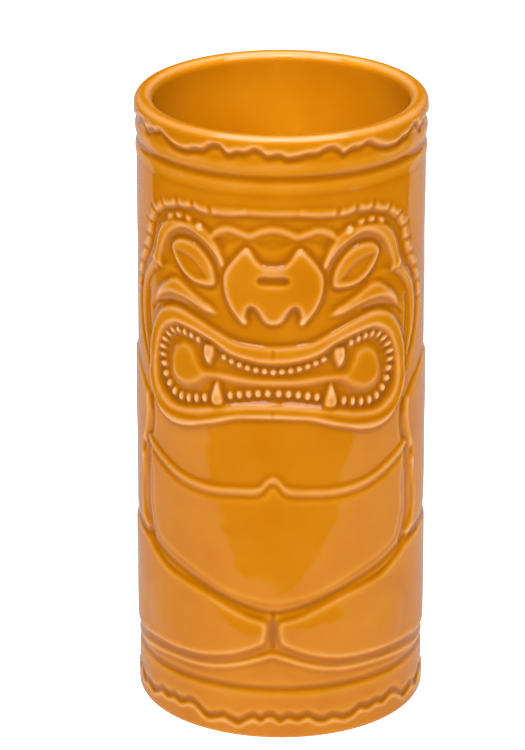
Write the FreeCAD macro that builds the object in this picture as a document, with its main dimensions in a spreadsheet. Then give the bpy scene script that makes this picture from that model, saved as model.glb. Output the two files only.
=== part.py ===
"""Tiki mug: a slip-cast clay cup with a carved-look figure in relief, and its coats of glaze.

Millimetres, +Z up, origin at the centre of the foot on the table, the figure faces -Y.
A place on the wall is written (along, up): millimetres to the right of the middle of the face,
measured round the rim's radius, and millimetres above the table.
"""
import FreeCAD, Part
import math
import os
import Sketcher

# The direction of the face, -Y, as an angle about the axis. It is more than half a turn so that the
# figure stays clear of the seam of the wall's surface, at +X.
FRONT = math.pi * 3 / 2

document = FreeCAD.newDocument("tiki_mug")

DRIVING_DIMENSIONS = {
    "full_height": 160,
    "rim_radius": 36.5,
    "wall_radius": 35.5,
    "bore_radius": 31.8,
    "well_floor": 8,
    "well_corner": 5,
    "glaze_thickness": 0.2,
    "collar_height": 3.2,
    "band_height": 15,
    "foot_collar_height": 4,
    "band_radius": 36.2,
    "lip_round": 2,
    "lip_drop": 3,
    "foot_round": 1.8,
    "foot_ring_radius": 30.5,
    "foot_recess": 2.4,
    "foot_line": 0.6,
    "relief_root": 34.2,
    "lobe_count": 48,
    "lobe_radius": 1.7,
}


def write_sheet():
    """The driving dimensions, one named cell each."""
    sheet = document.addObject("Spreadsheet::Sheet", "Sizes")
    for row, (alias, value) in enumerate(DRIVING_DIMENSIONS.items(), start=1):
        sheet.set(f"A{row}", alias.replace("_", " "))
        sheet.set(f"B{row}", str(value))
        sheet.setAlias(f"B{row}", alias)
    document.recompute()
    return sheet


sizes = write_sheet()


# Turned bodies: a sketched half section, revolved about the mug's axis

def turned_body(name, corners):
    """A PartDesign body turned from a closed half section; each corner is (radius, height)
    as expressions on the sheet."""
    body = document.addObject("PartDesign::Body", name)
    sketch = body.newObject("Sketcher::SketchObject", name + "_section")
    plane = next(item for item in body.Origin.OriginFeatures if item.Role == "XZ_Plane")
    sketch.AttachmentSupport = [(plane, "")]
    sketch.MapMode = "FlatFace"
    places = [[float(sketch.evalExpression(part)) for part in corner] for corner in corners]
    count = len(corners)
    for index in range(count):
        start = FreeCAD.Vector(*places[index], 0)
        end = FreeCAD.Vector(*places[(index + 1) % count], 0)
        sketch.addGeometry(Part.LineSegment(start, end), False)
    for index in range(count):
        sketch.addConstraint(Sketcher.Constraint("Coincident", index, 2, (index + 1) % count, 1))
    for index, corner in enumerate(corners):
        for kind, expression, value in zip(("DistanceX", "DistanceY"), corner, places[index]):
            number = sketch.addConstraint(Sketcher.Constraint(kind, -1, 1, index, 1, value))
            sketch.setExpression(f"Constraints[{number}]", expression)
    turn = body.newObject("PartDesign::Revolution", name + "_turned")
    turn.Profile = sketch
    turn.ReferenceAxis = (sketch, ["V_Axis"])
    turn.Angle = 360
    document.recompute()
    return body


def round_rings(body, rings):
    """Round the circular edges named by (radius, height, rounding), all sheet expressions."""
    for number, (radius, height, rounding) in enumerate(rings):
        base = body.Tip
        wanted = [float(base.evalExpression(part)) for part in (radius, height)]
        names = [
            f"Edge{index}" for index, edge in enumerate(base.Shape.Edges, start=1)
            if isinstance(edge.Curve, Part.Circle)
            and abs(edge.Curve.Radius - wanted[0]) < 0.01
            and abs(edge.Curve.Center.z - wanted[1]) < 0.01
        ]
        fillet = body.newObject("PartDesign::Fillet", f"{body.Name}_round_{number}")
        fillet.Base = (base, names)
        fillet.setExpression("Radius", rounding)
        body.Tip = fillet
        document.recompute()


def outer_steps(coat):
    """The outside of the turned wall from foot to rim, with a coat's thickness added."""
    def out(alias):
        return f"Sizes.{alias} - Sizes.glaze_thickness + {coat}"
    return [
        (out("rim_radius"), "Sizes.foot_collar_height"),
        (out("band_radius"), "Sizes.foot_collar_height + 0.6"),
        (out("band_radius"), "Sizes.band_height - 0.8"),
        (out("wall_radius"), "Sizes.band_height"),
        (out("wall_radius"), "Sizes.full_height - Sizes.collar_height - 1"),
        (out("rim_radius"), "Sizes.full_height - Sizes.collar_height"),
    ]


def clay_blank():
    """The cast clay without its relief: wall, floor, lip and foot ring."""
    rim = "Sizes.rim_radius - Sizes.glaze_thickness"
    bore = "Sizes.bore_radius + Sizes.glaze_thickness"
    top = "Sizes.full_height - Sizes.glaze_thickness"
    floor = "Sizes.well_floor - Sizes.glaze_thickness"
    corners = [("0", "Sizes.foot_recess"), ("Sizes.foot_ring_radius - 1.5", "Sizes.foot_recess")]
    corners += [("Sizes.foot_ring_radius", "0"), (rim, "0")]
    corners += outer_steps("0")
    corners += [(rim, top), (bore, top), (bore, floor), ("0", floor)]
    body = turned_body("clay_blank", corners)
    round_rings(body, [
        (rim, "0", "Sizes.foot_round"),
        (rim, top, "Sizes.lip_round"),
        (bore, top, "Sizes.lip_round"),
        (bore, floor, "Sizes.well_corner + Sizes.glaze_thickness"),
    ])
    return body


def outer_coat_blank():
    """A sleeve with the outside of the glazed mug, over the lip and down to the foot line."""
    within = "Sizes.bore_radius + 1.2"
    top = "Sizes.full_height"
    skirt = "Sizes.full_height - Sizes.lip_drop"
    corners = [(within, "Sizes.foot_line"), ("Sizes.rim_radius", "Sizes.foot_line")]
    corners += outer_steps("Sizes.glaze_thickness")
    corners += [("Sizes.rim_radius", top), ("Sizes.bore_radius", top)]
    corners += [("Sizes.bore_radius", skirt), (within, skirt)]
    body = turned_body("outer_coat_blank", corners)
    coated_lip = "Sizes.lip_round + Sizes.glaze_thickness"
    round_rings(body, [
        ("Sizes.rim_radius", top, coated_lip),
        ("Sizes.bore_radius", top, coated_lip),
        ("Sizes.rim_radius", "Sizes.foot_line", "Sizes.foot_round - Sizes.foot_line"),
    ])
    return body


# Relief: closed outlines on the unrolled wall, each raised into a pad that follows its curve

def size(alias):
    """A driving dimension as a number."""
    return float(getattr(sizes, alias))


def mirrored(points):
    """The same places on the other side of the face."""
    return [(-along, up) for along, up in points]


def symmetric_outline(half):
    """A closed outline from its right half, listed from the top middle to the bottom middle."""
    return half + mirrored(half[-2:0:-1])


def symmetric_path(half):
    """An open path from its right half, listed from the middle outwards."""
    return mirrored(half[:0:-1]) + half


def sideways(points, index, closed):
    """Unit direction to the left of travel at one point of a path or an outline."""
    last = len(points) - 1
    before = points[index - 1] if closed or index > 0 else points[0]
    after = points[(index + 1) % len(points)] if closed or index < last else points[last]
    run = (after[0] - before[0], after[1] - before[1])
    length = math.hypot(*run)
    return (-run[1] / length, run[0] / length)


def moved(points, by, closed):
    """Every point moved to the left of travel by one distance."""
    result = []
    for index, (along, up) in enumerate(points):
        left = sideways(points, index, closed)
        result.append((along + by * left[0], up + by * left[1]))
    return result


def ribbon(path, width):
    """The outline of a ridge of one width along a path, with rounded ends."""
    start, end = path[0], path[-1]
    first = sideways(path, 0, False)
    last = sideways(path, len(path) - 1, False)
    tail = (start[0] - first[1] * width / 2, start[1] + first[0] * width / 2)
    nose = (end[0] + last[1] * width / 2, end[1] - last[0] * width / 2)
    left = moved(path, width / 2, False)
    right = moved(path, -width / 2, False)
    return left + [nose] + right[::-1] + [tail]


def clockwise(points):
    """The outline listed clockwise as seen from outside the wall."""
    turns = sum(
        (second[0] - first[0]) * (second[1] + first[1])
        for first, second in zip(points, points[1:] + points[:1])
    )
    return points if turns > 0 else points[::-1]


def pad(outline, rise, spread, root=0):
    """A raised area of the wall with a smooth outline: spread widens it and lifts its top, and root
    sets how much deeper than usual it starts."""
    wall = Part.Cylinder()
    wall.Radius = size("relief_root") - abs(spread) - root
    points = moved(clockwise(outline), spread, True)
    unrolled = [
        FreeCAD.Base.Vector2d(along / size("rim_radius") + FRONT, up) for along, up in points
    ]
    curve = Part.Geom2d.BSplineCurve2d()
    curve.buildFromPoles(unrolled, True, 2)
    knots = curve.getKnots()
    stops = knots[:-1:3] + knots[-1:]
    edges = [curve.toShape(wall, start, end) for start, end in zip(stops, stops[1:])]
    face = Part.Face(wall, Part.Wire(edges))
    top = size("wall_radius") - size("glaze_thickness") + rise + spread
    return face.makeOffsetShape(top - wall.Radius, 1e-3, fill=True)


def bead(place, radius, spread, sunk=0):
    """A ball on the wall, half of it or more below the surface."""
    turn = place[0] / size("rim_radius") + FRONT
    wall = size("wall_radius") - size("glaze_thickness") - sunk
    centre = FreeCAD.Vector(wall * math.cos(turn), wall * math.sin(turn), place[1])
    return Part.makeSphere(radius + spread, centre)


def along_path(path, count):
    """Places spaced evenly along a path."""
    runs = [math.dist(first, second) for first, second in zip(path, path[1:])]
    places = []
    for number in range(count):
        left = sum(runs) * number / (count - 1)
        index = 0
        while index < len(runs) - 1 and left > runs[index]:
            left -= runs[index]
            index += 1
        share = left / runs[index]
        start, end = path[index], path[index + 1]
        places.append((start[0] + share * (end[0] - start[0]), start[1] + share * (end[1] - start[1])))
    return places


def both_sides(points):
    """A side motif's points and their mirror image."""
    return [points, mirrored(points)]


def nose(spread):
    half = [(0, 128), (4, 129.5), (7, 131.3), (10.3, 128.8), (12.9, 123), (11.6, 117), (7.6, 112.6),
            (6.6, 115.4), (5.4, 117), (3.6, 114.8), (1.5, 112.6), (0, 112.3)]
    return [pad(symmetric_outline(half), 0.9, spread)]


def lips(spread):
    """The open mouth: a raised ring between two outlines."""
    outer = [(0, 106.6), (8, 108.6), (16, 109.8), (24.5, 112.4), (32, 110.6), (36.6, 105.6), (37.5, 99),
             (35.4, 89.2), (30, 84), (24, 83.2), (15.6, 85.9), (8, 88), (0, 88.2)]
    inner = [(0, 102.5), (8, 103.5), (15, 106), (22, 109.2), (28.2, 108.5), (32.4, 102.9), (33.6, 97),
             (30.5, 89.8), (25, 87), (18, 88.7), (11, 90.8), (0, 90.9)]
    ring = pad(symmetric_outline(outer), 0.9, spread)
    hole = pad(symmetric_outline(inner), 3, -spread, 1)
    return [ring.cut(hole)]


def tongue(spread):
    """The low pads in the corners of the mouth and the bar between them."""
    half = [(0, 98.6), (8, 98.8), (15, 99), (19.5, 102.4), (24, 104.3), (28, 100.5), (28, 96.3),
            (24, 93.2), (20, 95), (15, 95.9), (8, 95.6), (0, 95.6)]
    return [pad(symmetric_outline(half), 0.35, spread)]


def fangs(spread):
    """Two fangs above and two below."""
    upper = [(15.2, 104.6), (16.8, 105), (18.6, 104.4), (17.9, 102), (17.5, 100), (16.3, 102)]
    lower = [(14.9, 95), (15.9, 93), (16.5, 90.8), (14.8, 90.2), (13, 90.8), (13.9, 93)]
    return [pad(fang, 0.7, spread) for half in (upper, lower) for fang in both_sides(half)]


def teeth(spread):
    """Beads round the mouth, in rows."""
    above = symmetric_path([(0, 100), (7, 100.8), (13, 102.2)])
    below = symmetric_path([(0, 93.6), (6.6, 93.6), (11.5, 92.7)])
    corner = [(20.4, 105.9), (26, 107.1), (30.6, 104), (32.1, 98.9), (31.2, 94), (27, 90.3), (18.6, 90.7)]
    places = along_path(above, 9) + along_path(below, 9)
    for side in both_sides(corner):
        places += along_path(side, 14)
    return [Part.Compound([bead(place, 0.75, spread) for place in places])]


def eyes(spread):
    """Almond eyes, each with a slit along it."""
    almond = [(28.3, 128.4), (25.5, 130.6), (21.5, 130.9), (17.4, 127.5), (15.6, 123), (17.5, 121.2),
              (22.5, 122), (26.8, 125.2)]
    slit = [(17.9, 124.2), (22.5, 126.6), (27, 128.3)]
    made = []
    for outline, line in zip(both_sides(almond), both_sides(slit)):
        made.append(pad(outline, 0.7, spread).cut(pad(ribbon(line, 1.1), 3, -spread, 1)))
    return made


def cheeks(spread):
    wing = [(14.3, 113.6), (20, 117.8), (26.9, 121.1), (32.6, 118.2), (36.8, 112), (34, 113.7),
            (28, 116), (21, 114.5)]
    return [pad(side, 0.8, spread) for side in both_sides(wing)]


def side_ridges(spread):
    """Ridges that come in pairs: path, width and rise of the right-hand one."""
    ridges = [
        ([(34.3, 121), (33, 125.5), (29.3, 132.3), (23, 134.7), (17.2, 131.8), (13.3, 126.4)], 1.6, 0.8),
        ([(36.2, 127.5), (38.3, 121.6), (44.2, 116), (45.6, 108), (43, 100.5), (38.8, 95)], 1.7, 0.7),
        ([(34.5, 120.6), (40.2, 114.5), (41.2, 107), (38.8, 98.5)], 1.5, 0.6),
        ([(36, 85.5), (41.7, 89.3), (50, 94.5), (55.6, 93.4)], 1.6, 0.7),
        ([(40.9, 88), (38.7, 82.3), (39.6, 77.5), (40, 73.4)], 1.6, 0.75),
        ([(41, 72.6), (43.6, 64), (43.8, 55.5), (40.7, 49)], 1.6, 0.7),
        ([(38.3, 63), (38.3, 55.3), (34.3, 48.1)], 1.5, 0.65),
        ([(33.6, 138.6), (39.8, 131), (44, 122.8), (47.6, 114.5), (47.8, 105)], 1.9, 0.6),
    ]
    return [pad(ribbon(side, width), rise, spread)
            for path, width, rise in ridges for side in both_sides(path)]


def middle_ridges(spread):
    """Ridges that cross the middle: path from the middle outwards, width and rise."""
    ridges = [
        ([(0, 136.3), (3, 135.7), (6, 134.8), (9.5, 135.7), (12.5, 135.8), (16.3, 134.7)], 1.3, 0.5),
        ([(0, 141.6), (14.5, 141.6), (24, 142), (31.4, 140.4)], 1.9, 0.6),
        ([(0, 70.8), (3, 69), (10, 67.8), (20, 67.6), (30, 70), (38, 73.2)], 1.6, 0.78),
        ([(0, 36.9), (12, 39.3), (24, 44.4), (34, 48.4)], 1.3, 0.55),
    ]
    return [pad(ribbon(symmetric_path(half), width), rise, spread) for half, width, rise in ridges]


def thighs(spread):
    """Each thigh is a raised outline, from the hip round the knee and back along the shin."""
    path = [(55.5, 49), (46, 48.6), (35, 43.9), (20, 39.6), (9, 35.5), (2.2, 32.6), (2.4, 26.8),
            (10, 22.9), (20, 20.8), (35, 20.5), (55.5, 21.8)]
    return [pad(ribbon(side, 1.6), 0.72, spread) for side in both_sides(path)]


def hip_lines(spread):
    """The hip and shin lines carried round the back, from side to side."""
    made = []
    for up in (49, 21.8):
        path = [(-170.5, up), (-140, up), (-115, up), (-90, up), (-58.8, up)]
        made.append(pad(ribbon(path, 1.6), 0.72, spread))
    return made


def base_ridge(spread):
    half = [(0, 23.4), (8, 20.4), (18, 17.9), (28, 16.7)]
    return [pad(ribbon(symmetric_path(half), 1.5), 0.62, spread)]


def tufts(spread):
    """Short brow tufts and the tips of the fringe."""
    brow = [(19, 136.6), (23, 137.6), (27.2, 137.2), (31.6, 134.8)]
    tips = [(16.4, 141.6), (21.6, 143), (27, 142.6), (32.2, 140.9), (37, 136.2), (41, 130.3), (44, 124.5)]
    places = brow + tips
    return [Part.Compound([bead(place, 1.3, spread) for place in places + mirrored(places)])]


def lobes(spread):
    """The scalloped edges of the rim collar and the foot collar, all the way round."""
    made = []
    round_wall = 2 * math.pi * size("rim_radius")
    collar_edge = size("full_height") - size("collar_height") - 0.3
    for up in (collar_edge, size("foot_collar_height") + 0.5):
        for number in range(int(size("lobe_count"))):
            along = (number + 0.5) * round_wall / size("lobe_count")
            made.append(bead((along, up), size("lobe_radius"), spread, 0.7))
    return [Part.Compound(made)]


FIGURE = (nose, lips, tongue, fangs, eyes, cheeks, side_ridges, middle_ridges, thighs, hip_lines,
          base_ridge, teeth, tufts, lobes)


def with_figure(layer, blank, spread):
    """The turned blank with the whole figure fused on, one piece of relief after another."""
    for motif in FIGURE:
        for number, made in enumerate(motif(spread)):
            name = f"{layer}_{motif.__name__}_{number}"
            relief = document.addObject("Part::Feature", name)
            relief.Shape = made
            relief.Placement = FreeCAD.Placement()
            joined = document.addObject("Part::Fuse", name + "_joined")
            joined.Base = blank
            joined.Tool = relief
            joined.Refine = False
            blank = joined
    document.recompute()
    return blank


def outer_glaze(clay):
    """The dipped coat: outside, over the lip, down to the foot line."""
    coat = with_figure("coat", outer_coat_blank(), size("glaze_thickness"))
    glaze = document.addObject("Part::Cut", "outer_glaze")
    glaze.Base = coat
    glaze.Tool = clay
    glaze.Refine = False
    return glaze


def well_glaze():
    """The poured coat inside the cup, from the lip down and over the floor."""
    skirt = "Sizes.full_height - Sizes.lip_drop"
    clay_bore = "Sizes.bore_radius + Sizes.glaze_thickness"
    clay_floor = "Sizes.well_floor - Sizes.glaze_thickness"
    body = turned_body("well_glaze", [
        ("Sizes.bore_radius", skirt), (clay_bore, skirt), (clay_bore, clay_floor), ("0", clay_floor),
        ("0", "Sizes.well_floor"), ("Sizes.bore_radius", "Sizes.well_floor"),
    ])
    round_rings(body, [
        ("Sizes.bore_radius", "Sizes.well_floor", "Sizes.well_corner"),
        (clay_bore, clay_floor, "Sizes.well_corner + Sizes.glaze_thickness"),
    ])
    return body


def base_glaze():
    """The thin coat on the hollow under the floor, inside the foot ring."""
    disc = document.addObject("Part::Cylinder", "base_glaze")
    disc.setExpression("Radius", "Sizes.foot_ring_radius - 2")
    disc.setExpression("Height", "Sizes.glaze_thickness")
    disc.setExpression("Placement.Base.z", "Sizes.foot_recess - Sizes.glaze_thickness")
    return disc


def checked(items):
    """Stop if any object failed to compute or any kept piece is not one sound solid."""
    failed = [item.Name for item in document.Objects if {"Invalid", "Error"} & set(item.State)]
    unsound = [item.Name for item in items if item.Shape.isNull() or not item.Shape.isValid()]
    if failed or unsound:
        raise SystemExit(f"failed: {failed}, not sound: {unsound}")
    return items


clay_body = with_figure("clay", clay_blank(), 0)
pieces = {
    "clay_body": clay_body,
    "outer_glaze": outer_glaze(clay_body),
    "well_glaze": well_glaze(),
    "base_glaze": base_glaze(),
}
document.recompute()
checked(pieces.values())
os.makedirs("parts", exist_ok=True)
for name, piece in pieces.items():
    piece.Label = name
    piece.Shape.exportStep(f"parts/{name}.step")
    print(name, len(piece.Shape.Solids), "solid", round(piece.Shape.Volume), "mm3")
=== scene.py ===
"""Looks of the tiki mug: glaze with its moulded relief, bare clay foot, studio floor, light and camera.

Blender works in metres. Everything on the wall is laid out in millimetres first, because a mould maker
would: a place is (along, up), the distance round the rim's radius from the middle of the face, positive
to the right, and the height above the table. The figure is the same on both sides of the face.
"""
import math

import bmesh
import bpy
import numpy as np
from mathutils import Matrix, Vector


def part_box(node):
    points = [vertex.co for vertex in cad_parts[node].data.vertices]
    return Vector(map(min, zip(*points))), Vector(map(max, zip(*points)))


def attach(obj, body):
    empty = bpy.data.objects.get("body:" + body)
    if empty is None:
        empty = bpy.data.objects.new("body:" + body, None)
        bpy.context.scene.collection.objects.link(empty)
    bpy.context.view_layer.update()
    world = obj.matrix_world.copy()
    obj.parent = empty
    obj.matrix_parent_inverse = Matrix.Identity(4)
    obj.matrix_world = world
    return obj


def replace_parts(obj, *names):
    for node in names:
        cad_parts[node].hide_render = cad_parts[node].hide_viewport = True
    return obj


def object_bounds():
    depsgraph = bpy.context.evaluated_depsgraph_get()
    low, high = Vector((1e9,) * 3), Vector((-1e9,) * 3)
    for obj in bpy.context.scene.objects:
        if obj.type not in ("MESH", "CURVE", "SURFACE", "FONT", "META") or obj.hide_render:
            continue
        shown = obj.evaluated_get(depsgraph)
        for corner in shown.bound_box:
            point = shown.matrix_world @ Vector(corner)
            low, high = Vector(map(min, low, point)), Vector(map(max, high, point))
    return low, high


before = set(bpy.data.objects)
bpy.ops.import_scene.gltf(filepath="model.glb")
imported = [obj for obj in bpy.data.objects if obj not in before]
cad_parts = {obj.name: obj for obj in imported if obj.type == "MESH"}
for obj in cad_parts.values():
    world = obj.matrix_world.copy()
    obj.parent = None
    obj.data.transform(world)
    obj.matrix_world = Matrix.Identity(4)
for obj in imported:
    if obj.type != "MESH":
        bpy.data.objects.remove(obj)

CAD_LOW, CAD_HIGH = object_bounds()

# The glazed mug in millimetres: the coats' thickness, the rim's radius, the height, the bore and the
# cup's floor; and the ways round the wall from the middle of the face to the back and to the side
MM = 0.001
GLAZE = 0.2
RIM = (CAD_HIGH.x - CAD_LOW.x) / 2 / MM
HEIGHT = CAD_HIGH.z / MM
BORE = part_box("well_glaze")[1].x / MM - GLAZE
WELL_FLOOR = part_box("well_glaze")[0].z / MM + GLAZE
HALF_WAY = math.pi * RIM
QUARTER = HALF_WAY / 2

# How far the plain wall lies behind the rim, and how far the foot band stands out from it
WALL_DROP = 0.5
BAND_RISE = 0.3

# Roundings of the foot, of both sides of the lip, and of the corner round the cup's floor
FOOT_ROUND = 1.8
LIP_OUTER = 2.0
LIP_INNER = 2.2
WELL_CORNER = 5.0

# Where the coats end: the foot line, the inside of the foot ring, the lap under the lip, and the
# radius of the hidden face between the outer coat and the clay
FOOT_LINE = 0.4
FOOT_RING = 30.5
LAP = HEIGHT - 3
CORE = 33.9

# The grid on which the heights of the wall are worked out
GRID_STEP = 0.3

# The camera's direction from the mug in degrees: off the middle of the face, and above level
VIEW_TURN = 3.3
VIEW_TILT = 21.54


# Outlines and paths on the unrolled wall

def smooth(points, closed=False, steps=6):
    """A smooth line through the points (Catmull-Rom), as an array of places."""
    places = np.array(points, float)
    if closed:
        places = np.vstack([places[-1:], places, places[:2]])
    else:
        first = 2 * places[0] - places[1]
        last = 2 * places[-1] - places[-2]
        places = np.vstack([first, places, last])
    share = np.linspace(0, 1, steps, endpoint=False)[:, None]
    stretches = []
    for a, b, c, d in zip(places[:-3], places[1:-2], places[2:-1], places[3:]):
        curve = 2 * b + (c - a) * share
        curve = curve + (2 * a - 5 * b + 4 * c - d) * share ** 2
        curve = curve + (3 * b - a - 3 * c + d) * share ** 3
        stretches.append(curve / 2)
    stretches.append(places[-2:-1])
    return np.vstack(stretches)


def distance_to(line, along, up):
    """How far each place is from a line."""
    nearest = np.full(along.shape, 1e3)
    for (x0, y0), (x1, y1) in zip(line[:-1], line[1:]):
        dx, dy = x1 - x0, y1 - y0
        length = dx * dx + dy * dy
        if length == 0:
            continue
        share = np.clip(((along - x0) * dx + (up - y0) * dy) / length, 0, 1)
        nearest = np.minimum(nearest, np.hypot(along - x0 - share * dx, up - y0 - share * dy))
    return nearest


def depth_inside(outline, along, up):
    """How far each place is inside a closed outline; negative outside."""
    inside = np.zeros(along.shape, bool)
    for (x0, y0), (x1, y1) in zip(outline[:-1], outline[1:]):
        if y0 == y1:
            continue
        crosses = (y0 > up) != (y1 > up)
        inside ^= crosses & (along < x0 + (up - y0) * (x1 - x0) / (y1 - y0))
    return np.where(inside, 1, -1) * distance_to(outline, along, up)


def reflected(points):
    """The left-hand twin of places on the right."""
    return [(-along, up) for along, up in points]


def across_middle(points):
    """A path from the middle outwards, led a little way over to the other side."""
    return reflected(points[2:0:-1]) + points


def whole_outline(half):
    """A closed outline from its right half, listed from the top middle to the bottom middle."""
    return half + reflected(half[-2:0:-1])


def evenly(path, count):
    """Places spaced evenly along a path, ends included, with the direction of travel at each."""
    line = smooth(path)
    runs = np.hypot(*np.diff(line, axis=0).T)
    travelled = np.concatenate([[0], np.cumsum(runs)])
    stops = np.linspace(0, travelled[-1], count)
    places = np.stack([np.interp(stops, travelled, line[:, axis]) for axis in (0, 1)], axis=1)
    turns = np.gradient(places, axis=0)
    return places, np.arctan2(turns[:, 1], turns[:, 0])


def crown(x):
    """The rounded top of a ridge: one in the middle, nothing at a distance of one."""
    return np.clip(1 - x * x, 0, 1) ** 1.5


def shoulder(x):
    """The edge of a panel: it leaves the wall gently and breaks sharply at the top, one width in."""
    x = np.clip(x, 0, 1)
    return x * x * (1.8 - 0.8 * x)


class Relief:
    """Heights over the right half of the wall, in millimetres above the plain wall."""

    def __init__(self, along, up):
        self.along = along
        self.up = up
        self.height = np.zeros((len(up), len(along)))
        self.ridges = np.zeros((len(up), len(along)))

    def window(self, line, margin):
        """The part of the grid round a line: where it is, and its places."""
        low = line.min(axis=0) - margin
        high = line.max(axis=0) + margin
        columns = slice(*np.searchsorted(self.along, (low[0], high[0])))
        rows = slice(*np.searchsorted(self.up, (low[1], high[1])))
        along, up = np.meshgrid(self.along[columns], self.up[rows])
        return (rows, columns), along, up

    def panel(self, outline, rise, edge):
        """An area raised or sunk by one height. Its slope is one edge wide, inside the outline, and
        breaks sharply at its upper side: at the outline itself where the area is sunk."""
        line = smooth(outline, closed=True)
        where, along, up = self.window(line, 0.5)
        share = depth_inside(line, along, up) / edge
        slope = shoulder(share) if rise > 0 else 1 - shoulder(1 - share)
        self.height[where] += rise * slope * (share > 0)

    def ridge(self, path, width, rise):
        """A rounded ridge along a path; where ridges meet, the higher one stays."""
        line = smooth(path)
        where, along, up = self.window(line, width)
        bump = rise * crown(distance_to(line, along, up) / (width / 2))
        self.ridges[where] = np.maximum(self.ridges[where], bump)

    def groove(self, path, width, depth):
        """A rounded groove along a path, in whatever is there already."""
        line = smooth(path)
        where, along, up = self.window(line, width)
        self.height[where] -= depth * crown(distance_to(line, along, up) / (width / 2))

    def swell(self, path, width, rise):
        """A broad, gentle swelling along a path, under whatever is there already."""
        line = smooth(path)
        where, along, up = self.window(line, width)
        self.height[where] += rise * crown(distance_to(line, along, up) / (width / 2))

    def bead(self, place, size, rise, turn=0.0):
        """A small raised oval: its two sizes, its height and the direction of its length."""
        where, along, up = self.window(np.array([place]), max(size))
        run, lift = along - place[0], up - place[1]
        length = (run * math.cos(turn) + lift * math.sin(turn)) / (size[0] / 2)
        width = (lift * math.cos(turn) - run * math.sin(turn)) / (size[1] / 2)
        bump = rise * crown(np.hypot(length, width))
        self.ridges[where] = np.maximum(self.ridges[where], bump)

    def cut(self, path, width, depth):
        """A groove that also goes through the ridges laid so far."""
        line = smooth(path)
        where, along, up = self.window(line, width)
        share = crown(distance_to(line, along, up) / (width / 2))
        self.ridges[where] *= 1 - share
        self.height[where] -= depth * share

    def finished(self):
        """The heights with the ridges and beads added."""
        return self.height + self.ridges


# The figure, from the hair down

FACE_EDGE = [
    (0, 140.4), (7, 140.4), (14, 140), (16.3, 139.6), (21.6, 140.3), (26.5, 139.8), (31.9, 138),
    (35.6, 135.4), (37.9, 132), (38.9, 128.2), (40.8, 124.2), (43.8, 120), (46.1, 115.4), (47.3, 110.5),
    (47.1, 105), (45, 99.5), (41.5, 95.2), (38.6, 91), (36.5, 85.5), (30, 83.4), (20, 84), (10, 87),
    (0, 88),
]
FRINGE = [
    ((7, 140.1), (7, 141)), ((16.3, 139.4), (16.7, 141.6)), ((21.6, 140.1), (21.8, 141.9)),
    ((26.5, 139.7), (27.2, 142)), ((31.9, 137.9), (33.3, 139.9)), ((35.6, 135.3), (38, 136.8)),
    ((37.9, 132), (41.4, 132.4)), ((38.9, 128.2), (42.1, 128)), ((41, 124.2), (43.8, 123.6)),
    ((43.9, 120), (46.4, 119)), ((46.2, 115.4), (48.6, 114.6)), ((47.3, 110.6), (49.6, 110.2)),
]


def carve_hair(relief):
    """The sunk face, and the fringe that hangs over its edge in round locks with gaps between them."""
    relief.panel(whole_outline(FACE_EDGE), -0.55, 1.3)
    relief.ridge(across_middle([(0, 141), (7, 141), (15, 140.8)]), 1.7, 0.2)
    gaps = np.array(FRINGE)
    for (gap, _), (next_gap, _) in zip(gaps[:-1], gaps[1:]):
        run = next_gap - gap
        out = np.array([-run[1], run[0]]) / math.hypot(*run)
        lock = [gap + 0.9 * out, (gap + next_gap) / 2 + 0.2 * out, next_gap + 0.9 * out]
        relief.ridge(lock, 2.6, 0.3)
    for gap, gap_end in gaps[1:]:
        relief.cut([gap, gap + 0.7 * (gap_end - gap)], 1.8, 0.16)


def carve_brow(relief):
    """The wavy brow, the sunk area under it, and short tufts over each eye."""
    wave = [(0, 136.5), (3, 135.9), (6, 134.7), (8.6, 135.3), (11.3, 135.9), (14.1, 135.1),
            (15.6, 133.8)]
    relief.ridge(across_middle(wave), 2.6, 0.55)
    under = [(0, 134.6), (3, 134), (6, 132.8), (9.5, 133.6), (12.5, 134), (15, 133), (13, 130),
             (10.6, 131.8), (7, 133.4), (3.6, 131.6), (0, 130.4)]
    relief.panel(whole_outline(under), -0.25, 1.4)
    tufts = [((19.5, 135.4), 0.7), ((23, 136.6), 0.3), ((26.2, 136.7), 0), ((29.3, 135.8), -0.4)]
    for place, turn in tufts:
        relief.bead(place, (3.4, 2.2), 0.75, turn)


def carve_eye(relief):
    """The hood over the eye, the socket under it, and the almond eye with a hollow along it."""
    hood_inside = [(33.3, 121), (33.1, 123.4), (32.4, 125.8), (30.2, 130), (27.4, 132.4), (24.4, 133.5),
                   (21.2, 132.8), (17.8, 130.8), (15.2, 128.2), (13.6, 125.6)]
    hood_outside = [(12, 126.2), (12.8, 129), (14.8, 132.6), (17.6, 135.5), (21.6, 136.2),
                    (28.2, 135.7), (32.4, 133.8), (35.4, 129.6), (36.4, 125.6), (37.3, 122.6)]
    relief.panel(hood_inside + hood_outside, 0.7, 0.9)
    socket = [(33.2, 122), (32.2, 125.4), (30.6, 128.8), (28.4, 131.4), (25.6, 132.9), (22.6, 133),
              (19.8, 131.9), (16.8, 129.4), (14.4, 126), (13.6, 122.5), (15.2, 119.2), (19.5, 118.9),
              (24.6, 120.6), (29, 122)]
    relief.panel(socket, -0.35, 1.6)
    almond = [(29.4, 128.8), (27.2, 131), (23.6, 131.6), (20, 130.8), (17, 128.4), (15, 125.2),
              (14.5, 121.4), (16.4, 119.9), (20.8, 119.9), (24.6, 121.4), (27.6, 124.2), (29.3, 127)]
    relief.panel(almond, 0.95, 1.0)
    hollow = [(17, 122.2), (21.2, 121.4), (25, 123.6), (27.9, 127.8), (24.1, 128.2), (19.8, 126.2)]
    relief.panel(hollow, -0.36, 1.3)


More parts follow.
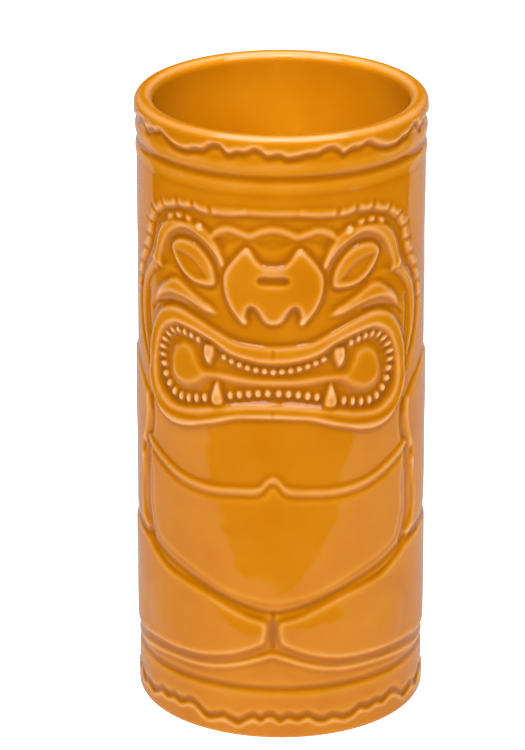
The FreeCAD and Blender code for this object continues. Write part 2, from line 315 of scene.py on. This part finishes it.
def carve_nose(relief):
    """The broad flat nose with its nostrils cut into the lower edge and a slit on top."""
    half = [(0, 127.6), (2.2, 127.8), (3.8, 129.2), (5, 131), (6.3, 131.9), (7.8, 131.6), (9.4, 130),
            (11.4, 127.5), (12.9, 125), (13.3, 122), (12.8, 118.8), (11.4, 115.6), (9.4, 112.9),
            (7.6, 111.3), (6.2, 111.8), (6.3, 114), (5.9, 115.6), (5.2, 115.9), (4.2, 114.9),
            (3, 112.9), (1.8, 111.8), (0, 111.4)]
    relief.panel(whole_outline(half), 1.0, 1.0)
    slit = [(0, 124.9), (3.1, 124.8), (4.3, 123.5), (3.3, 122.1), (0, 121.9)]
    relief.panel(whole_outline(slit), -0.7, 1.1)


def carve_cheek(relief):
    """The raised fold from the nose over the cheek."""
    wing = [(14, 113.2), (15.9, 115.8), (18.2, 117), (21.7, 118.8), (24.5, 120.3), (26.8, 121),
            (29.3, 120.5), (31.5, 119.1), (33.8, 117), (35.8, 114.6), (36.9, 112), (37, 110.4),
            (34.4, 113), (31, 114.7), (28, 115.3), (24.5, 115), (20.5, 113.8), (17.5, 112.9)]
    relief.panel(wing, 0.8, 1.3)
    relief.groove([(37.8, 109.4), (36, 111.4), (33, 112.6), (28.5, 113.8), (24, 113.6)], 1.6, 0.3)


LIP_OUTSIDE = [
    (0, 106.7), (5, 107), (9.6, 107.6), (14.3, 109.6), (19.3, 111.6), (23.5, 112.8), (27, 113.2),
    (30.6, 112.5), (33.6, 110.8), (36.3, 107.6), (38.4, 103.6), (39.8, 98.6), (40, 94.5), (39.3, 90.6),
    (37.4, 86.4), (34, 83.5), (30.5, 82), (26.8, 81.5), (22.5, 82.1), (18.6, 83.4), (14, 84.8),
    (9.5, 86.3), (5, 86.8), (0, 87),
]
LIP_INSIDE = [
    (0, 102.5), (5.4, 102.9), (11, 104.2), (15.8, 106.8), (20.5, 108.4), (25.2, 109.2), (28.5, 108.8),
    (32.5, 106), (34.8, 101.5), (36.1, 96), (35.9, 91.3), (33.4, 88), (28.3, 86), (21.5, 86.7),
    (15, 88.4), (6, 90), (0, 90.2),
]


def carve_mouth(relief):
    """Lips round an open mouth, the mouth's floor, and the tongue with its round ends."""
    relief.panel(whole_outline(LIP_OUTSIDE), 0.85, 0.9)
    relief.panel(whole_outline(LIP_INSIDE), -1.6, 2.4)
    tongue = [(0, 98.7), (5.2, 98.5), (12, 99), (16.4, 98.7), (18.6, 99.1), (19.8, 100.8), (21.8, 104),
              (25.6, 105), (29.4, 102.5), (31, 97.8), (30.2, 93.3), (25.5, 91.3), (21, 92.4),
              (17.9, 94.5), (15.8, 95.3), (8, 94.7), (0, 94.5)]
    relief.panel(whole_outline(tongue), 0.75, 2.2)
    for notch in ([(0, 105.4), (0, 103.2)], [(0, 89.2), (0, 87.6)]):
        relief.groove(notch, 0.9, 0.2)


def set_teeth(relief):
    """Rows of small teeth round the mouth and a fang at each side, above and below."""
    above = [(0, 99.4), (4, 99.7), (7.2, 100.3), (10.3, 101.2), (13, 102.2)]
    below = [(1.4, 93.6), (4.3, 93.4), (7, 93), (9.3, 92.6), (11.3, 92.2)]
    corner_above = [(20.6, 105.6), (24, 106.4), (27.4, 106.6), (30, 105.5), (32, 103.2), (33.2, 100.7),
                    (33.6, 98.2)]
    corner_below = [(33.4, 95.9), (32.8, 93.4), (31, 91), (28.3, 89.3), (24.7, 89.1), (21.4, 89.7),
                    (18.6, 90.4)]
    rows = [(above, 7, (2, 2.1)), (corner_above, 9, (1.9, 2.5)), (corner_below, 8, (2.2, 3)),
            (below, 5, (2, 2.6))]
    for path, count, size in rows:
        places, turns = evenly(path, count)
        for place, turn in zip(places, turns):
            relief.bead(place, size, 1.3, turn)
    upper_fang = [(18.8, 105.2), (15.6, 105.4), (15, 103), (16.2, 100.2), (17.4, 99.2), (18.6, 100.2),
                  (19.4, 102.4)]
    lower_fang = [(15.4, 96), (14.4, 95.6), (12.8, 92.6), (12.4, 90), (14.6, 88.9), (17, 89.6),
                  (17, 92.4)]
    relief.panel(upper_fang, 1.2, 1.1)
    relief.panel(lower_fang, 1.35, 1.2)


def carve_face_frame(relief):
    """The long band down the side of the face."""
    band = [(34.6, 121), (37.2, 119), (39.7, 116), (41.2, 112), (41.5, 107), (41.2, 103), (40.6, 99.4),
            (40, 95.6), (41, 94.8), (42, 97.4), (43.6, 100.6), (45.2, 104.2), (45.8, 108),
            (45.4, 112.2), (44.2, 116), (41.8, 119), (38.8, 121.8), (37.2, 125), (36.2, 128.4),
            (35, 128), (35.4, 124.4)]
    relief.panel(band, 0.5, 1.1)
    relief.groove([(39.9, 113.5), (40.3, 109), (39.9, 105), (39.6, 101.6)], 1.2, 0.25)


def carve_arm(relief):
    """The shoulder, the arm down the side and the hand on the hip."""
    arm = [(39.6, 86.4), (41.7, 88.6), (45, 91.2), (50, 94), (56, 94.6), (63, 92), (67.6, 86),
           (68.6, 78), (66.8, 70), (67.6, 65), (66.6, 59), (61, 53.6), (53, 50.2), (43, 48.6),
           (40.8, 48.8), (42.7, 52.6), (44, 56.8), (44.2, 60.6), (43.2, 65), (41.9, 69), (42.5, 71),
           (40.8, 73.6), (40, 77), (39, 82)]
    relief.panel(arm, 0.55, 1.3)
    upper_edge = [(40, 85.6), (39.6, 82), (40.2, 78.4), (40.9, 75.6), (42.2, 72.6)]
    lower_edge = [(43.2, 68), (43.7, 64), (44.6, 60), (44.4, 56.6), (43.2, 52.6), (41.4, 49.4)]
    for edge in (upper_edge, lower_edge):
        relief.ridge(edge, 2.2, 0.42)
    relief.groove([(38.8, 86), (38, 84), (37.7, 80), (38.6, 76)], 1.8, 0.45)
    relief.groove([(40.4, 72), (40.9, 66), (41.2, 61), (41.2, 56), (39.6, 51), (38.2, 48.6)], 2.8, 0.4)


def carve_belly(relief):
    """The chest's edge and the belly under it."""
    chest_edge = [(0, 71.4), (1.2, 70.8), (2.7, 69), (5, 68.2), (10, 67.8), (15, 67.4), (20, 67.6),
                  (25, 68.4), (30, 70), (35, 72.1), (39.6, 74.2)]
    belly_edge = [(40, 73.6), (39.6, 69), (38.6, 63), (39.1, 59.5), (38.4, 55.3), (36.9, 51.1),
                  (34.3, 48.1), (30, 46.2), (24, 44.1), (18, 41.5), (12, 39), (6, 37.4), (0, 36.5)]
    belly_top = [(along, up + 0.6) for along, up in chest_edge]
    relief.panel(whole_outline(belly_top + belly_edge), 0.4, 1.5)
    relief.ridge(across_middle(chest_edge), 1.8, 0.42)
    relief.groove(across_middle([(along, up - 1.9) for along, up in chest_edge]), 2, 0.26)


def carve_legs(relief):
    """Thighs that run from the knees in the middle round to the back, over a folded base."""
    behind = HALF_WAY + 20
    thigh = [(0.8, 31.6), (1.9, 33.3), (6, 34.5), (12, 37), (18, 39.3), (24, 40.9), (30, 42.4),
             (36, 45.2), (40, 47.4), (46, 48.4), (54, 48.8), (80, 48.8), (behind, 48.8), (behind, 17.8),
             (80, 17.8), (60, 17.8), (50, 18.2), (40, 19.4), (30, 20.1), (20, 20.7), (15, 21.4),
             (10, 22.6), (5, 24.5), (1.8, 26.2), (0.9, 28.8)]
    relief.panel(thigh, 0.75, 1.3)
    lap = [(0, 35), (6, 36.1), (12, 38.1), (18, 40.3), (24, 42.5), (30, 44.4), (36.6, 47), (40, 48.6)]
    relief.groove(across_middle(lap), 2, 0.35)
    relief.groove([(0, 34.8), (0, 31), (0, 26)], 1.8, 0.3)
    relief.swell([(11, 26), (16, 26.4), (23, 27.8), (30, 29.4)], 22, 0.8)
    fold = [(0, 23.3), (2.8, 22.5), (5.6, 21.6), (8.5, 20.6), (14, 19.2), (20, 18.4), (30, 17.9),
            (40, 17), (50, 15.9), (80, 15.6), (behind, 15.6)]
    relief.ridge(across_middle(fold), 2, 0.45)


def moulded_figure(along, up):
    """Heights of the whole figure over the right half of the wall."""
    relief = Relief(along, up)
    for carve in (carve_hair, carve_brow, carve_eye, carve_nose, carve_cheek, carve_mouth, set_teeth,
                  carve_face_frame, carve_arm, carve_belly, carve_legs):
        carve(relief)
    return relief.finished()


# The turned wall behind the figure: rim collar, rings and foot band, all the way round

RIM_SCALLOPS = [
    (-28.7, 155.6), (-26.4, 155), (-23.1, 154.9), (-20.7, 155.7), (-18.2, 156), (-16.8, 156.9),
    (-15, 157.7), (-13.4, 157.5), (-12.2, 156.3), (-11, 155.8), (-9.2, 156.5), (-6.8, 156.6),
    (-4.7, 157.5), (-3, 157), (-1.5, 156), (1.5, 156.3), (3.5, 155.5), (6, 155.8), (8.3, 156.3),
    (11, 156.5), (12.7, 157.3), (14.7, 157.6), (16.5, 156.7), (17.7, 155.8), (20, 156.7), (22.3, 156.7),
    (24.7, 157.4), (27, 156.3),
]
FOOT_SCALLOPS = [
    (-28.7, 6), (-26, 5.4), (-23.1, 6.5), (-21, 6), (-17.8, 3.8), (-15.2, 4.2), (-12.8, 4.8),
    (-10.9, 4.1), (-8.8, 3.6), (-6.9, 4.7), (-5.1, 5.6), (-3, 5), (-1.6, 6), (0, 6), (1.9, 5),
    (3.9, 5.8), (6.5, 5.2), (9, 5.9), (11.2, 4.6), (13.5, 4.3), (15.6, 4.9), (18.6, 4.1), (21.2, 4.6),
    (23.4, 5.8), (26, 5.3),
]


def scalloped(points, along):
    """The height of a scalloped edge all round the mug: one quarter's edge, four times."""
    line = smooth(points + [(points[0][0] + QUARTER, points[0][1])], steps=5)
    return np.interp((along - points[0][0]) % QUARTER + points[0][0], line[:, 0], line[:, 1])


# Plain rings under the rim: height above the table, half width, and rise, negative for a groove
RIM_RINGS = [(152.3, 1.9, 0.32), (149.4, 1.4, -0.34), (146.9, 2.0, 0.26)]
BAND_TOP = 14.4


def turned_rings(along, up):
    """Heights of the collar, the rings, the foot band and the foot collar above the plain wall."""
    collar = up - scalloped(RIM_SCALLOPS, along)
    height = WALL_DROP * shoulder((collar + 0.7) / 1.2)
    height += 0.2 * crown((collar - 0.4) / 0.8) - 0.3 * crown((collar + 1.3) / 1.2)
    for middle, reach, rise in RIM_RINGS:
        height += rise * crown((up - middle) / reach)
    band = BAND_RISE * shoulder((BAND_TOP - up) / 2.2) - 0.3 * crown((up - BAND_TOP + 0.3) / 1.3)
    foot = scalloped(FOOT_SCALLOPS, along) - up
    foot_collar = (WALL_DROP - BAND_RISE) * shoulder((foot + 0.6) / 1.1)
    foot_collar += 0.2 * crown((foot - 0.5) / 0.8) - 0.42 * crown((foot + 1.0) / 1.5)
    return height + band + foot_collar


def uneven(along, up, size, depth, seed):
    """Gentle waviness that joins up round the mug, as slip and thick glaze leave it."""
    draw = np.random.default_rng(seed)
    turns = 2 * HALF_WAY / size
    total = np.zeros(np.broadcast(along, up).shape)
    for _ in range(10):
        round_count = int(draw.integers(1, int(turns) + 1))
        lift = draw.uniform(-1, 1) / size
        phase = draw.uniform(0, 2 * math.pi)
        total = total + np.sin(along / RIM * round_count + 2 * math.pi * lift * up + phase)
    return depth * total / 3


def softened(sheet, reach):
    """The sheet of heights blurred over a reach in millimetres; it joins up round the back."""
    count = math.ceil(3 * reach / GRID_STEP)
    steps = np.arange(-count, count + 1)
    weights = np.exp(-(steps * GRID_STEP / reach) ** 2 / 2)
    weights /= weights.sum()
    wide = sum(weight * np.roll(sheet, step, axis=1) for step, weight in zip(steps, weights))
    padded = np.pad(wide, ((count, count), (0, 0)), mode="edge")
    rows = sheet.shape[0]
    return sum(weight * padded[start:start + rows] for start, weight in enumerate(weights))


def clay_sheet():
    """Heights of the cast clay over the whole unrolled wall, on an even grid."""
    columns = round(HALF_WAY / GRID_STEP)
    half = np.arange(columns + 1) * HALF_WAY / columns
    up = np.arange(0, HEIGHT + GRID_STEP, GRID_STEP)
    figure = moulded_figure(half, up)
    whole = np.concatenate([figure[:, :0:-1], figure[:, :-1]], axis=1)
    along = np.concatenate([-half[:0:-1], half[:-1]])
    return whole + turned_rings(*np.meshgrid(along, up))


def sampled(sheet, along, up):
    """Values of a sheet on the even grid at any places on the wall."""
    column = (along + HALF_WAY) / (2 * HALF_WAY) * sheet.shape[1]
    row = np.clip(up / GRID_STEP, 0, sheet.shape[0] - 1.001)
    i, j = row.astype(int), np.floor(column).astype(int)
    a, b = row - i, column - j
    left, right = j % sheet.shape[1], (j + 1) % sheet.shape[1]
    return ((1 - a) * (1 - b) * sheet[i, left] + (1 - a) * b * sheet[i, right]
            + a * (1 - b) * sheet[i + 1, left] + a * b * sheet[i + 1, right])


# Meshes turned about the axis, ring by ring

def spaced(stretches):
    """Positions along a line: each stretch is (start, end, largest step); ends aren't repeated."""
    places = []
    for start, end, step in stretches:
        count = max(1, math.ceil(abs(end - start) / step))
        places.extend(np.linspace(start, end, count, endpoint=False))
    return np.array(places + [stretches[-1][1]])


def ring_mesh(name, turns, rings, breaks=(), loop=True, values=None):
    """A mesh of rings about the axis. Each ring is (radius, height), numbers or one value per turn.
    Faces join each ring to the next, except after the rings in breaks."""
    count = len(turns)
    radii = np.array([np.broadcast_to(radius, count) for radius, height in rings])
    heights = np.array([np.broadcast_to(height, count) for radius, height in rings])
    places = np.stack([radii * np.cos(turns), radii * np.sin(turns), heights], axis=2) * MM
    faces = []
    for ring in range(len(rings) if loop else len(rings) - 1):
        if ring in breaks:
            continue
        low = ring * count + np.arange(count)
        high = (ring + 1) % len(rings) * count + np.arange(count)
        faces.append(np.stack([low, np.roll(low, -1), np.roll(high, -1), high], axis=1))
    mesh = bpy.data.meshes.new(name)
    mesh.from_pydata(places.reshape(-1, 3).tolist(), [], np.vstack(faces).tolist())
    mesh.shade_smooth()
    if values is not None:
        # A value per point for the glaze colour: its thickness, with painted shade and painted
        # highlight in it
        layer = mesh.attributes.new("pooling_and_painted_light", "FLOAT", "POINT")
        flat = np.array([np.broadcast_to(value, count) for value in values]).ravel()
        layer.data.foreach_set("value", flat.astype(np.float32))
    piece = bpy.data.objects.new(name, mesh)
    bpy.context.scene.collection.objects.link(piece)
    return piece


def merged(piece):
    """Join the points that a ring of no radius leaves on top of each other."""
    work = bmesh.new()
    work.from_mesh(piece.data)
    bmesh.ops.remove_doubles(work, verts=work.verts, dist=1e-7)
    bmesh.ops.dissolve_degenerate(work, edges=work.edges, dist=1e-7)
    work.to_mesh(piece.data)
    work.free()
    return piece


def arc(centre, radius, first, last, count):
    """Places on an arc in the half section, angles in degrees from straight outwards."""
    angles = np.radians(np.linspace(first, last, count))
    return [(centre[0] + radius * math.cos(a), centre[1] + radius * math.sin(a)) for a in angles]


def outer_glaze():
    """The coat outside, with the figure, over the lip and down to the foot line."""
    half = spaced([(0, 50, 0.36), (50, 60, 0.6), (60, HALF_WAY, 1.1)])
    along = np.concatenate([-half[-2:0:-1], half])
    wall_low, wall_high = FOOT_ROUND, HEIGHT - LIP_OUTER
    up = spaced([(wall_low, 8.5, 0.34), (8.5, 16.5, 0.4), (16.5, 82, 0.48), (82, 146, 0.36),
                 (146, wall_high, 0.34)])
    wide, tall = np.meshgrid(along, up)
    clay = clay_sheet()
    surface = sampled(softened(clay, 0.33), wide, tall)
    surface += uneven(wide, tall, 16, 0.045, 5) + uneven(wide, tall, 5, 0.008, 6)
    # Positive in hollows and negative on edges: browner pooled glaze and paler thin glaze, and also
    # painted shade in the hollows and painted highlight on the edges
    pooling_and_painted_light = sampled(softened(clay, 0.85) - softened(clay, 0.3), wide, tall)
    rings = list(zip(RIM - WALL_DROP + surface, tall))
    foot = arc((RIM - FOOT_ROUND, FOOT_ROUND), FOOT_ROUND, -52, -8, 6)
    back_of_foot = [(CORE, FOOT_LINE + 0.3), (RIM - FOOT_ROUND + 0.4, FOOT_LINE + 0.12)]
    edge = arc((RIM - LIP_OUTER, wall_high), LIP_OUTER, 14, 80, 7)
    top = [(BORE + LIP_INNER + 0.25, HEIGHT - 0.02)]
    brim = arc((BORE + LIP_INNER, HEIGHT - LIP_INNER - 0.05), LIP_INNER, 92, 176, 10)
    skirt = [(BORE, LAP + 0.02), (BORE, LAP), (BORE + GLAZE, LAP), (CORE, LAP - 0.4)]
    rings = back_of_foot + foot + rings + edge + top + brim + skirt
    # Paler along the lip: the glaze breaking thin over the rim, and a painted highlight along the lip's
    # rounding and its inner side
    edge_thin_glaze_and_highlight = [-0.02, -0.07, -0.12, -0.16, -0.16, -0.12, -0.06]
    top_thin_glaze_and_highlight = [-0.02]
    brim_thin_glaze_and_highlight = [-0.06, -0.12, -0.16, -0.18, -0.15, -0.1, -0.06, -0.03, -0.02, 0.0]
    values = [0.0] * (len(back_of_foot) + len(foot)) + list(pooling_and_painted_light)
    values += edge_thin_glaze_and_highlight + top_thin_glaze_and_highlight + brim_thin_glaze_and_highlight + [0.0] * len(skirt)
    piece = ring_mesh("outer_glaze_coat", along / RIM - math.pi / 2, rings, values=values)
    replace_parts(piece, "outer_glaze")
    return piece


def well_glaze():
    """The coat poured inside the cup, darker where it ran down to the floor and pooled."""
    flat = BORE - WELL_CORNER
    turns = np.linspace(0, 2 * math.pi, 192, endpoint=False)
    around = turns * RIM
    rings = [(BORE, LAP - 0.003), (BORE, LAP - 0.02)]
    values = [0.0, 0.0]
    for up in spaced([(LAP - 1, WELL_FLOOR + WELL_CORNER, 2)]):
        fade = min(1.0, (LAP - up) / 12)
        rings.append((BORE + fade * uneven(around, up, 20, 0.05, 8), up))
        values.append(fade * (uneven(around, up, 60, 0.09, 9) - 0.04))
    corner = arc((flat, WELL_FLOOR + WELL_CORNER), WELL_CORNER, -10, -90, 8)
    floor = [(radius, WELL_FLOOR - 0.1 * (1 - radius / 27)) for radius in (22, 16, 10, 5, 0)]
    rings += corner + floor
    values += [0.2] * len(corner) + [0.12] * len(floor)
    turning_point = len(rings) - 1
    behind = [(0, WELL_FLOOR - 0.4), (22, WELL_FLOOR - 0.35)]
    behind += arc((flat, WELL_FLOOR + WELL_CORNER), WELL_CORNER + GLAZE, -85, 0, 8)
    behind += [(BORE + GLAZE, LAP - 0.003)]
    rings += behind
    values += [0.0] * len(behind)
    piece = ring_mesh("well_glaze_coat", turns, rings, breaks=(turning_point,), values=values)
    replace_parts(merged(piece), "well_glaze")
    return piece


def base_glaze():
    """The coat in the hollow under the floor, with a rounded, slightly thicker rim."""
    low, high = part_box("base_glaze")
    radius, under, top = high.x / MM, low.z / MM, high.z / MM
    turns = np.linspace(0, 2 * math.pi, 96, endpoint=False)
    rings = [(0, top), (radius - 0.5, top)]
    rings += [(radius - 0.1, top - 0.03), (radius, top - 0.12), (radius - 0.3, under - 0.05)]
    rings += [(reach, under - 0.05 + 0.08 * (1 - reach / radius)) for reach in (26, 22, 16, 10, 5, 0)]
    piece = ring_mesh("base_glaze_coat", turns, rings, loop=False, values=[0.1] * len(rings))
    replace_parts(merged(piece), "base_glaze")
    return piece


def clay_body():
    """The cast clay: only its bare foot ring shows."""
    gap = 0.03
    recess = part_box("base_glaze")[1].z / MM
    outside, inside = CORE - gap, BORE + GLAZE + gap
    turns = np.linspace(0, 2 * math.pi, 192, endpoint=False)
    around = turns * RIM
    hollow = [(0, recess + gap), (FOOT_RING - 2, recess + gap), (FOOT_RING - 1.2, recess - 0.3)]
    foot = [(FOOT_RING - 0.35, 0.5), (FOOT_RING, 0.12), (FOOT_RING + 0.6, 0), (FOOT_RING + 2, 0),
            (34.2, 0), (35, 0.08), (35.5, 0.3), (35.3, FOOT_LINE + 0.2)]
    wall = [(outside, FOOT_LINE + 0.6), (outside, HEIGHT - 4), (inside, HEIGHT - 4),
            (inside, WELL_FLOOR + WELL_CORNER)]
    corner = arc((BORE - WELL_CORNER, WELL_FLOOR + WELL_CORNER), WELL_CORNER + GLAZE + gap, -10, -85, 6)
    rings = []
    for radius, up in hollow + foot + wall + corner + [(0, WELL_FLOOR - 0.6)]:
        wobble = uneven(around, radius, 9, 0.03, 11) if FOOT_RING <= radius < 35 and up < 0.3 else 0
        rings.append((radius, np.maximum(up + wobble, 0)))
    piece = ring_mesh("clay_foot_and_wall", turns, rings, loop=False)
    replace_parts(merged(piece), "clay_body")
    return piece


# Materials

class Nodes:
    """A material's node tree with short calls to add and link nodes."""

    def __init__(self, name):
        self.material = bpy.data.materials.new(name)
        self.material.use_nodes = True
        self.tree = self.material.node_tree
        self.shader = self.tree.nodes["Principled BSDF"]

    def add(self, kind, **settings):
        """A new node of one kind, with its settings."""
        node = self.tree.nodes.new(kind)
        for key, value in settings.items():
            setattr(node, key, value)
        return node

    def link(self, source, target):
        self.tree.links.new(source, target)

    def noise(self, scale, detail, place):
        """Noise over the places of the surface."""
        node = self.add("ShaderNodeTexNoise")
        node.inputs["Scale"].default_value = scale
        node.inputs["Detail"].default_value = detail
        self.link(place, node.inputs["Vector"])
        return node.outputs["Fac"]

    def ramp(self, value, stops):
        """A colour that changes with a value; each stop is (value, colour)."""
        node = self.add("ShaderNodeValToRGB")
        band = node.color_ramp
        while len(band.elements) < len(stops):
            band.elements.new(0.5)
        for element, (position, colour) in zip(band.elements, stops):
            element.position = position
            element.color = (*colour, 1)
        self.link(value, node.inputs["Fac"])
        return node.outputs["Color"]

    def spread(self, value, low, high, start, end):
        """A value's range from low to high carried over to start to end."""
        node = self.add("ShaderNodeMapRange")
        for name, number in zip(("From Min", "From Max", "To Min", "To Max"), (low, high, start, end)):
            node.inputs[name].default_value = number
        self.link(value, node.inputs["Value"])
        return node.outputs["Result"]

    def sum(self, first, second):
        node = self.add("ShaderNodeMath", operation="ADD")
        self.link(first, node.inputs[0])
        self.link(second, node.inputs[1])
        return node.outputs[0]

    def bump(self, height, distance, strength):
        """A normal that follows a height too fine for the mesh."""
        node = self.add("ShaderNodeBump")
        node.inputs["Distance"].default_value = distance
        node.inputs["Strength"].default_value = strength
        self.link(height, node.inputs["Height"])
        return node.outputs["Normal"]


def amber_glaze():
    """Thick clear amber glaze: pale on edges and brown in hollows, partly where the glaze breaks thin
    over edges and pools below them, and partly painted highlight on the edges and painted shade in the
    hollows.
    """
    nodes = Nodes("amber_glaze")
    place = nodes.add("ShaderNodeTexCoord").outputs["Object"]
    # The per-point value sets the colour: glaze thickness, plus painted shade in hollows and painted
    # highlight on edges and along the lip
    pooling_and_painted_light = nodes.add("ShaderNodeAttribute", attribute_name="pooling_and_painted_light").outputs["Fac"]
    clouds = nodes.spread(nodes.noise(55, 3, place), 0.3, 0.7, -0.025, 0.025)
    thickness_and_painted_light = nodes.spread(nodes.sum(pooling_and_painted_light, clouds), -0.31, 0.31, 0, 1)
    colour = nodes.ramp(thickness_and_painted_light, [
        (0.0, (0.68, 0.37, 0.16)), (0.2, (0.61, 0.275, 0.08)), (0.4, (0.52, 0.19, 0.005)),
        (0.52, (0.46, 0.148, 0.001)), (0.68, (0.35, 0.102, 0.001)), (1.0, (0.27, 0.078, 0.005)),
    ])
    nodes.link(colour, nodes.shader.inputs["Base Color"])
    rough = nodes.spread(nodes.noise(120, 2, place), 0.3, 0.7, 0.05, 0.09)
    nodes.link(rough, nodes.shader.inputs["Roughness"])
    peel = nodes.bump(nodes.noise(420, 2, place), 0.00006, 0.12)
    nodes.link(peel, nodes.shader.inputs["Normal"])
    nodes.shader.inputs["IOR"].default_value = 1.52
    nodes.shader.inputs["Subsurface Weight"].default_value = 0.1
    nodes.shader.inputs["Subsurface Radius"].default_value = (1.0, 0.4, 0.1)
    nodes.shader.inputs["Subsurface Scale"].default_value = 0.001
    return nodes.material


def bisque_clay():
    """Bare fired clay: pale buff, matte, with fine grit and a few iron specks."""
    nodes = Nodes("bisque_clay")
    place = nodes.add("ShaderNodeTexCoord").outputs["Object"]
    colour = nodes.ramp(nodes.noise(700, 6, place), [
        (0.3, (0.42, 0.29, 0.18)), (0.45, (0.66, 0.53, 0.38)), (0.7, (0.76, 0.64, 0.5)),
    ])
    nodes.link(colour, nodes.shader.inputs["Base Color"])
    rough = nodes.spread(nodes.noise(900, 3, place), 0.3, 0.7, 0.8, 0.95)
    nodes.link(rough, nodes.shader.inputs["Roughness"])
    grit = nodes.bump(nodes.noise(1500, 4, place), 0.0002, 0.5)
    nodes.link(grit, nodes.shader.inputs["Normal"])
    return nodes.material


# Studio

def off_centre(azimuth, elevation):
    """A direction: azimuth 0 is in front of the face and grows towards +X, both in degrees."""
    turn, tilt = math.radians(azimuth), math.radians(elevation)
    return Vector((math.sin(turn) * math.cos(tilt), -math.cos(turn) * math.cos(tilt), math.sin(tilt)))


def soft_box(name, azimuth, elevation, distance, size, power):
    """A rectangular light that faces the middle of the mug."""
    light = bpy.data.lights.new(name, "AREA")
    light.shape = "RECTANGLE"
    light.size, light.size_y = size
    light.energy = power
    holder = bpy.data.objects.new(name, light)
    away = off_centre(azimuth, elevation)
    holder.location = Vector((0, 0, HEIGHT / 2 * MM)) + away * distance
    holder.rotation_euler = away.to_track_quat("Z", "Y").to_euler()
    bpy.context.scene.collection.objects.link(holder)


def cup_light(side):
    """A narrow soft beam through the opening that lights one half of the back of the cup's inside."""
    light = bpy.data.lights.new("cup_light", "SPOT")
    light.energy = 100
    light.spot_size = math.radians(1.9)
    light.spot_blend = 1
    light.shadow_soft_size = 0.02
    holder = bpy.data.objects.new("cup_light", light)
    holder.visible_glossy = False
    target = Vector((0.014 * side, 0.027, 0.141))
    away = off_centre(VIEW_TURN - 22 * side, 38)
    holder.location = target + away
    holder.rotation_euler = away.to_track_quat("Z", "Y").to_euler()
    bpy.context.scene.collection.objects.link(holder)


def flat_panel(name, corners, colour, glow):
    """A flat matte panel of the studio, which may also glow."""
    mesh = bpy.data.meshes.new(name)
    mesh.from_pydata(corners, [], [tuple(range(len(corners)))])
    panel = bpy.data.objects.new(name, mesh)
    bpy.context.scene.collection.objects.link(panel)
    nodes = Nodes(name)
    nodes.shader.inputs["Base Color"].default_value = (colour, colour, colour, 1)
    nodes.shader.inputs["Roughness"].default_value = 0.9
    nodes.shader.inputs["Specular IOR Level"].default_value = 0.0
    nodes.shader.inputs["Emission Color"].default_value = (1, 1, 1, 1)
    nodes.shader.inputs["Emission Strength"].default_value = glow
    mesh.materials.append(nodes.material)
    return panel


def reflector(name, corners, glow):
    """A glowing panel that shows only as a reflection in the glaze."""
    panel = flat_panel(name, corners, 0.0, glow)
    panel.visible_camera = False
    panel.visible_diffuse = False
    panel.visible_shadow = False


def level_corners(left, right, front, back, height):
    """The corners of a level rectangle."""
    return [(left, front, height), (right, front, height), (right, back, height), (left, back, height)]


def studio():
    """A pale floor in an even white room. The floor's own glow stands for light thrown back by a wide
    table; in reflections the glaze shows a smaller table top and a backdrop instead of the floor."""
    floor = flat_panel("studio_floor", level_corners(-6, 6, -6, 6, -0.05 * MM), 0.92, 0.92)
    floor.visible_glossy = False
    reflector("table_top", level_corners(-0.235, 0.235, -0.13, 0.4, -MM), 0.52)
    left, right = (off_centre(VIEW_TURN + side, 0) * 1.2 for side in (-119, 119))
    low = -2 * MM
    behind = [(0, 0, low), (right.x, right.y, low), (right.x, 2, low), (left.x, 2, low),
              (left.x, left.y, low)]
    reflector("backdrop", behind, 0.55)
    soft_box("soft_box_left", -35, 62, 0.7, (0.48, 0.5), 3.1)
    soft_box("soft_box_right", 38, 62, 0.7, (0.48, 0.5), 3.1)
    for side in (-1, 1):
        cup_light(side)
    soft_box("overhead", 180, 80, 1.0, (0.8, 0.8), 4.5)
    world = bpy.data.worlds.new("white_room")
    world.use_nodes = True
    world.node_tree.nodes["Background"].inputs["Color"].default_value = (1, 1, 1, 1)
    world.node_tree.nodes["Background"].inputs["Strength"].default_value = 0.29
    world.cycles_visibility.glossy = False
    bpy.context.scene.world = world
    bpy.context.scene.view_settings.view_transform = "Standard"


def camera():
    """A long lens a little above the rim, turned a few degrees from straight in front."""
    data = bpy.data.cameras.new("studio_camera")
    data.lens = 215.2
    data.sensor_width = 36
    holder = bpy.data.objects.new("studio_camera", data)
    target = Vector((-0.00465, -0.00027, 0.08476))
    distance = 1.1354
    away = off_centre(VIEW_TURN, VIEW_TILT)
    holder.location = target + away * distance
    holder.rotation_euler = away.to_track_quat("Z", "Y").to_euler()
    bpy.context.scene.collection.objects.link(holder)
    bpy.context.scene.camera = holder


camera()
studio()
glaze = amber_glaze()
clay = bisque_clay()
made = [(outer_glaze, glaze), (well_glaze, glaze), (base_glaze, glaze), (clay_body, clay)]
for make, material in made:
    piece = make()
    piece.data.materials.append(material)
    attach(piece, "root")
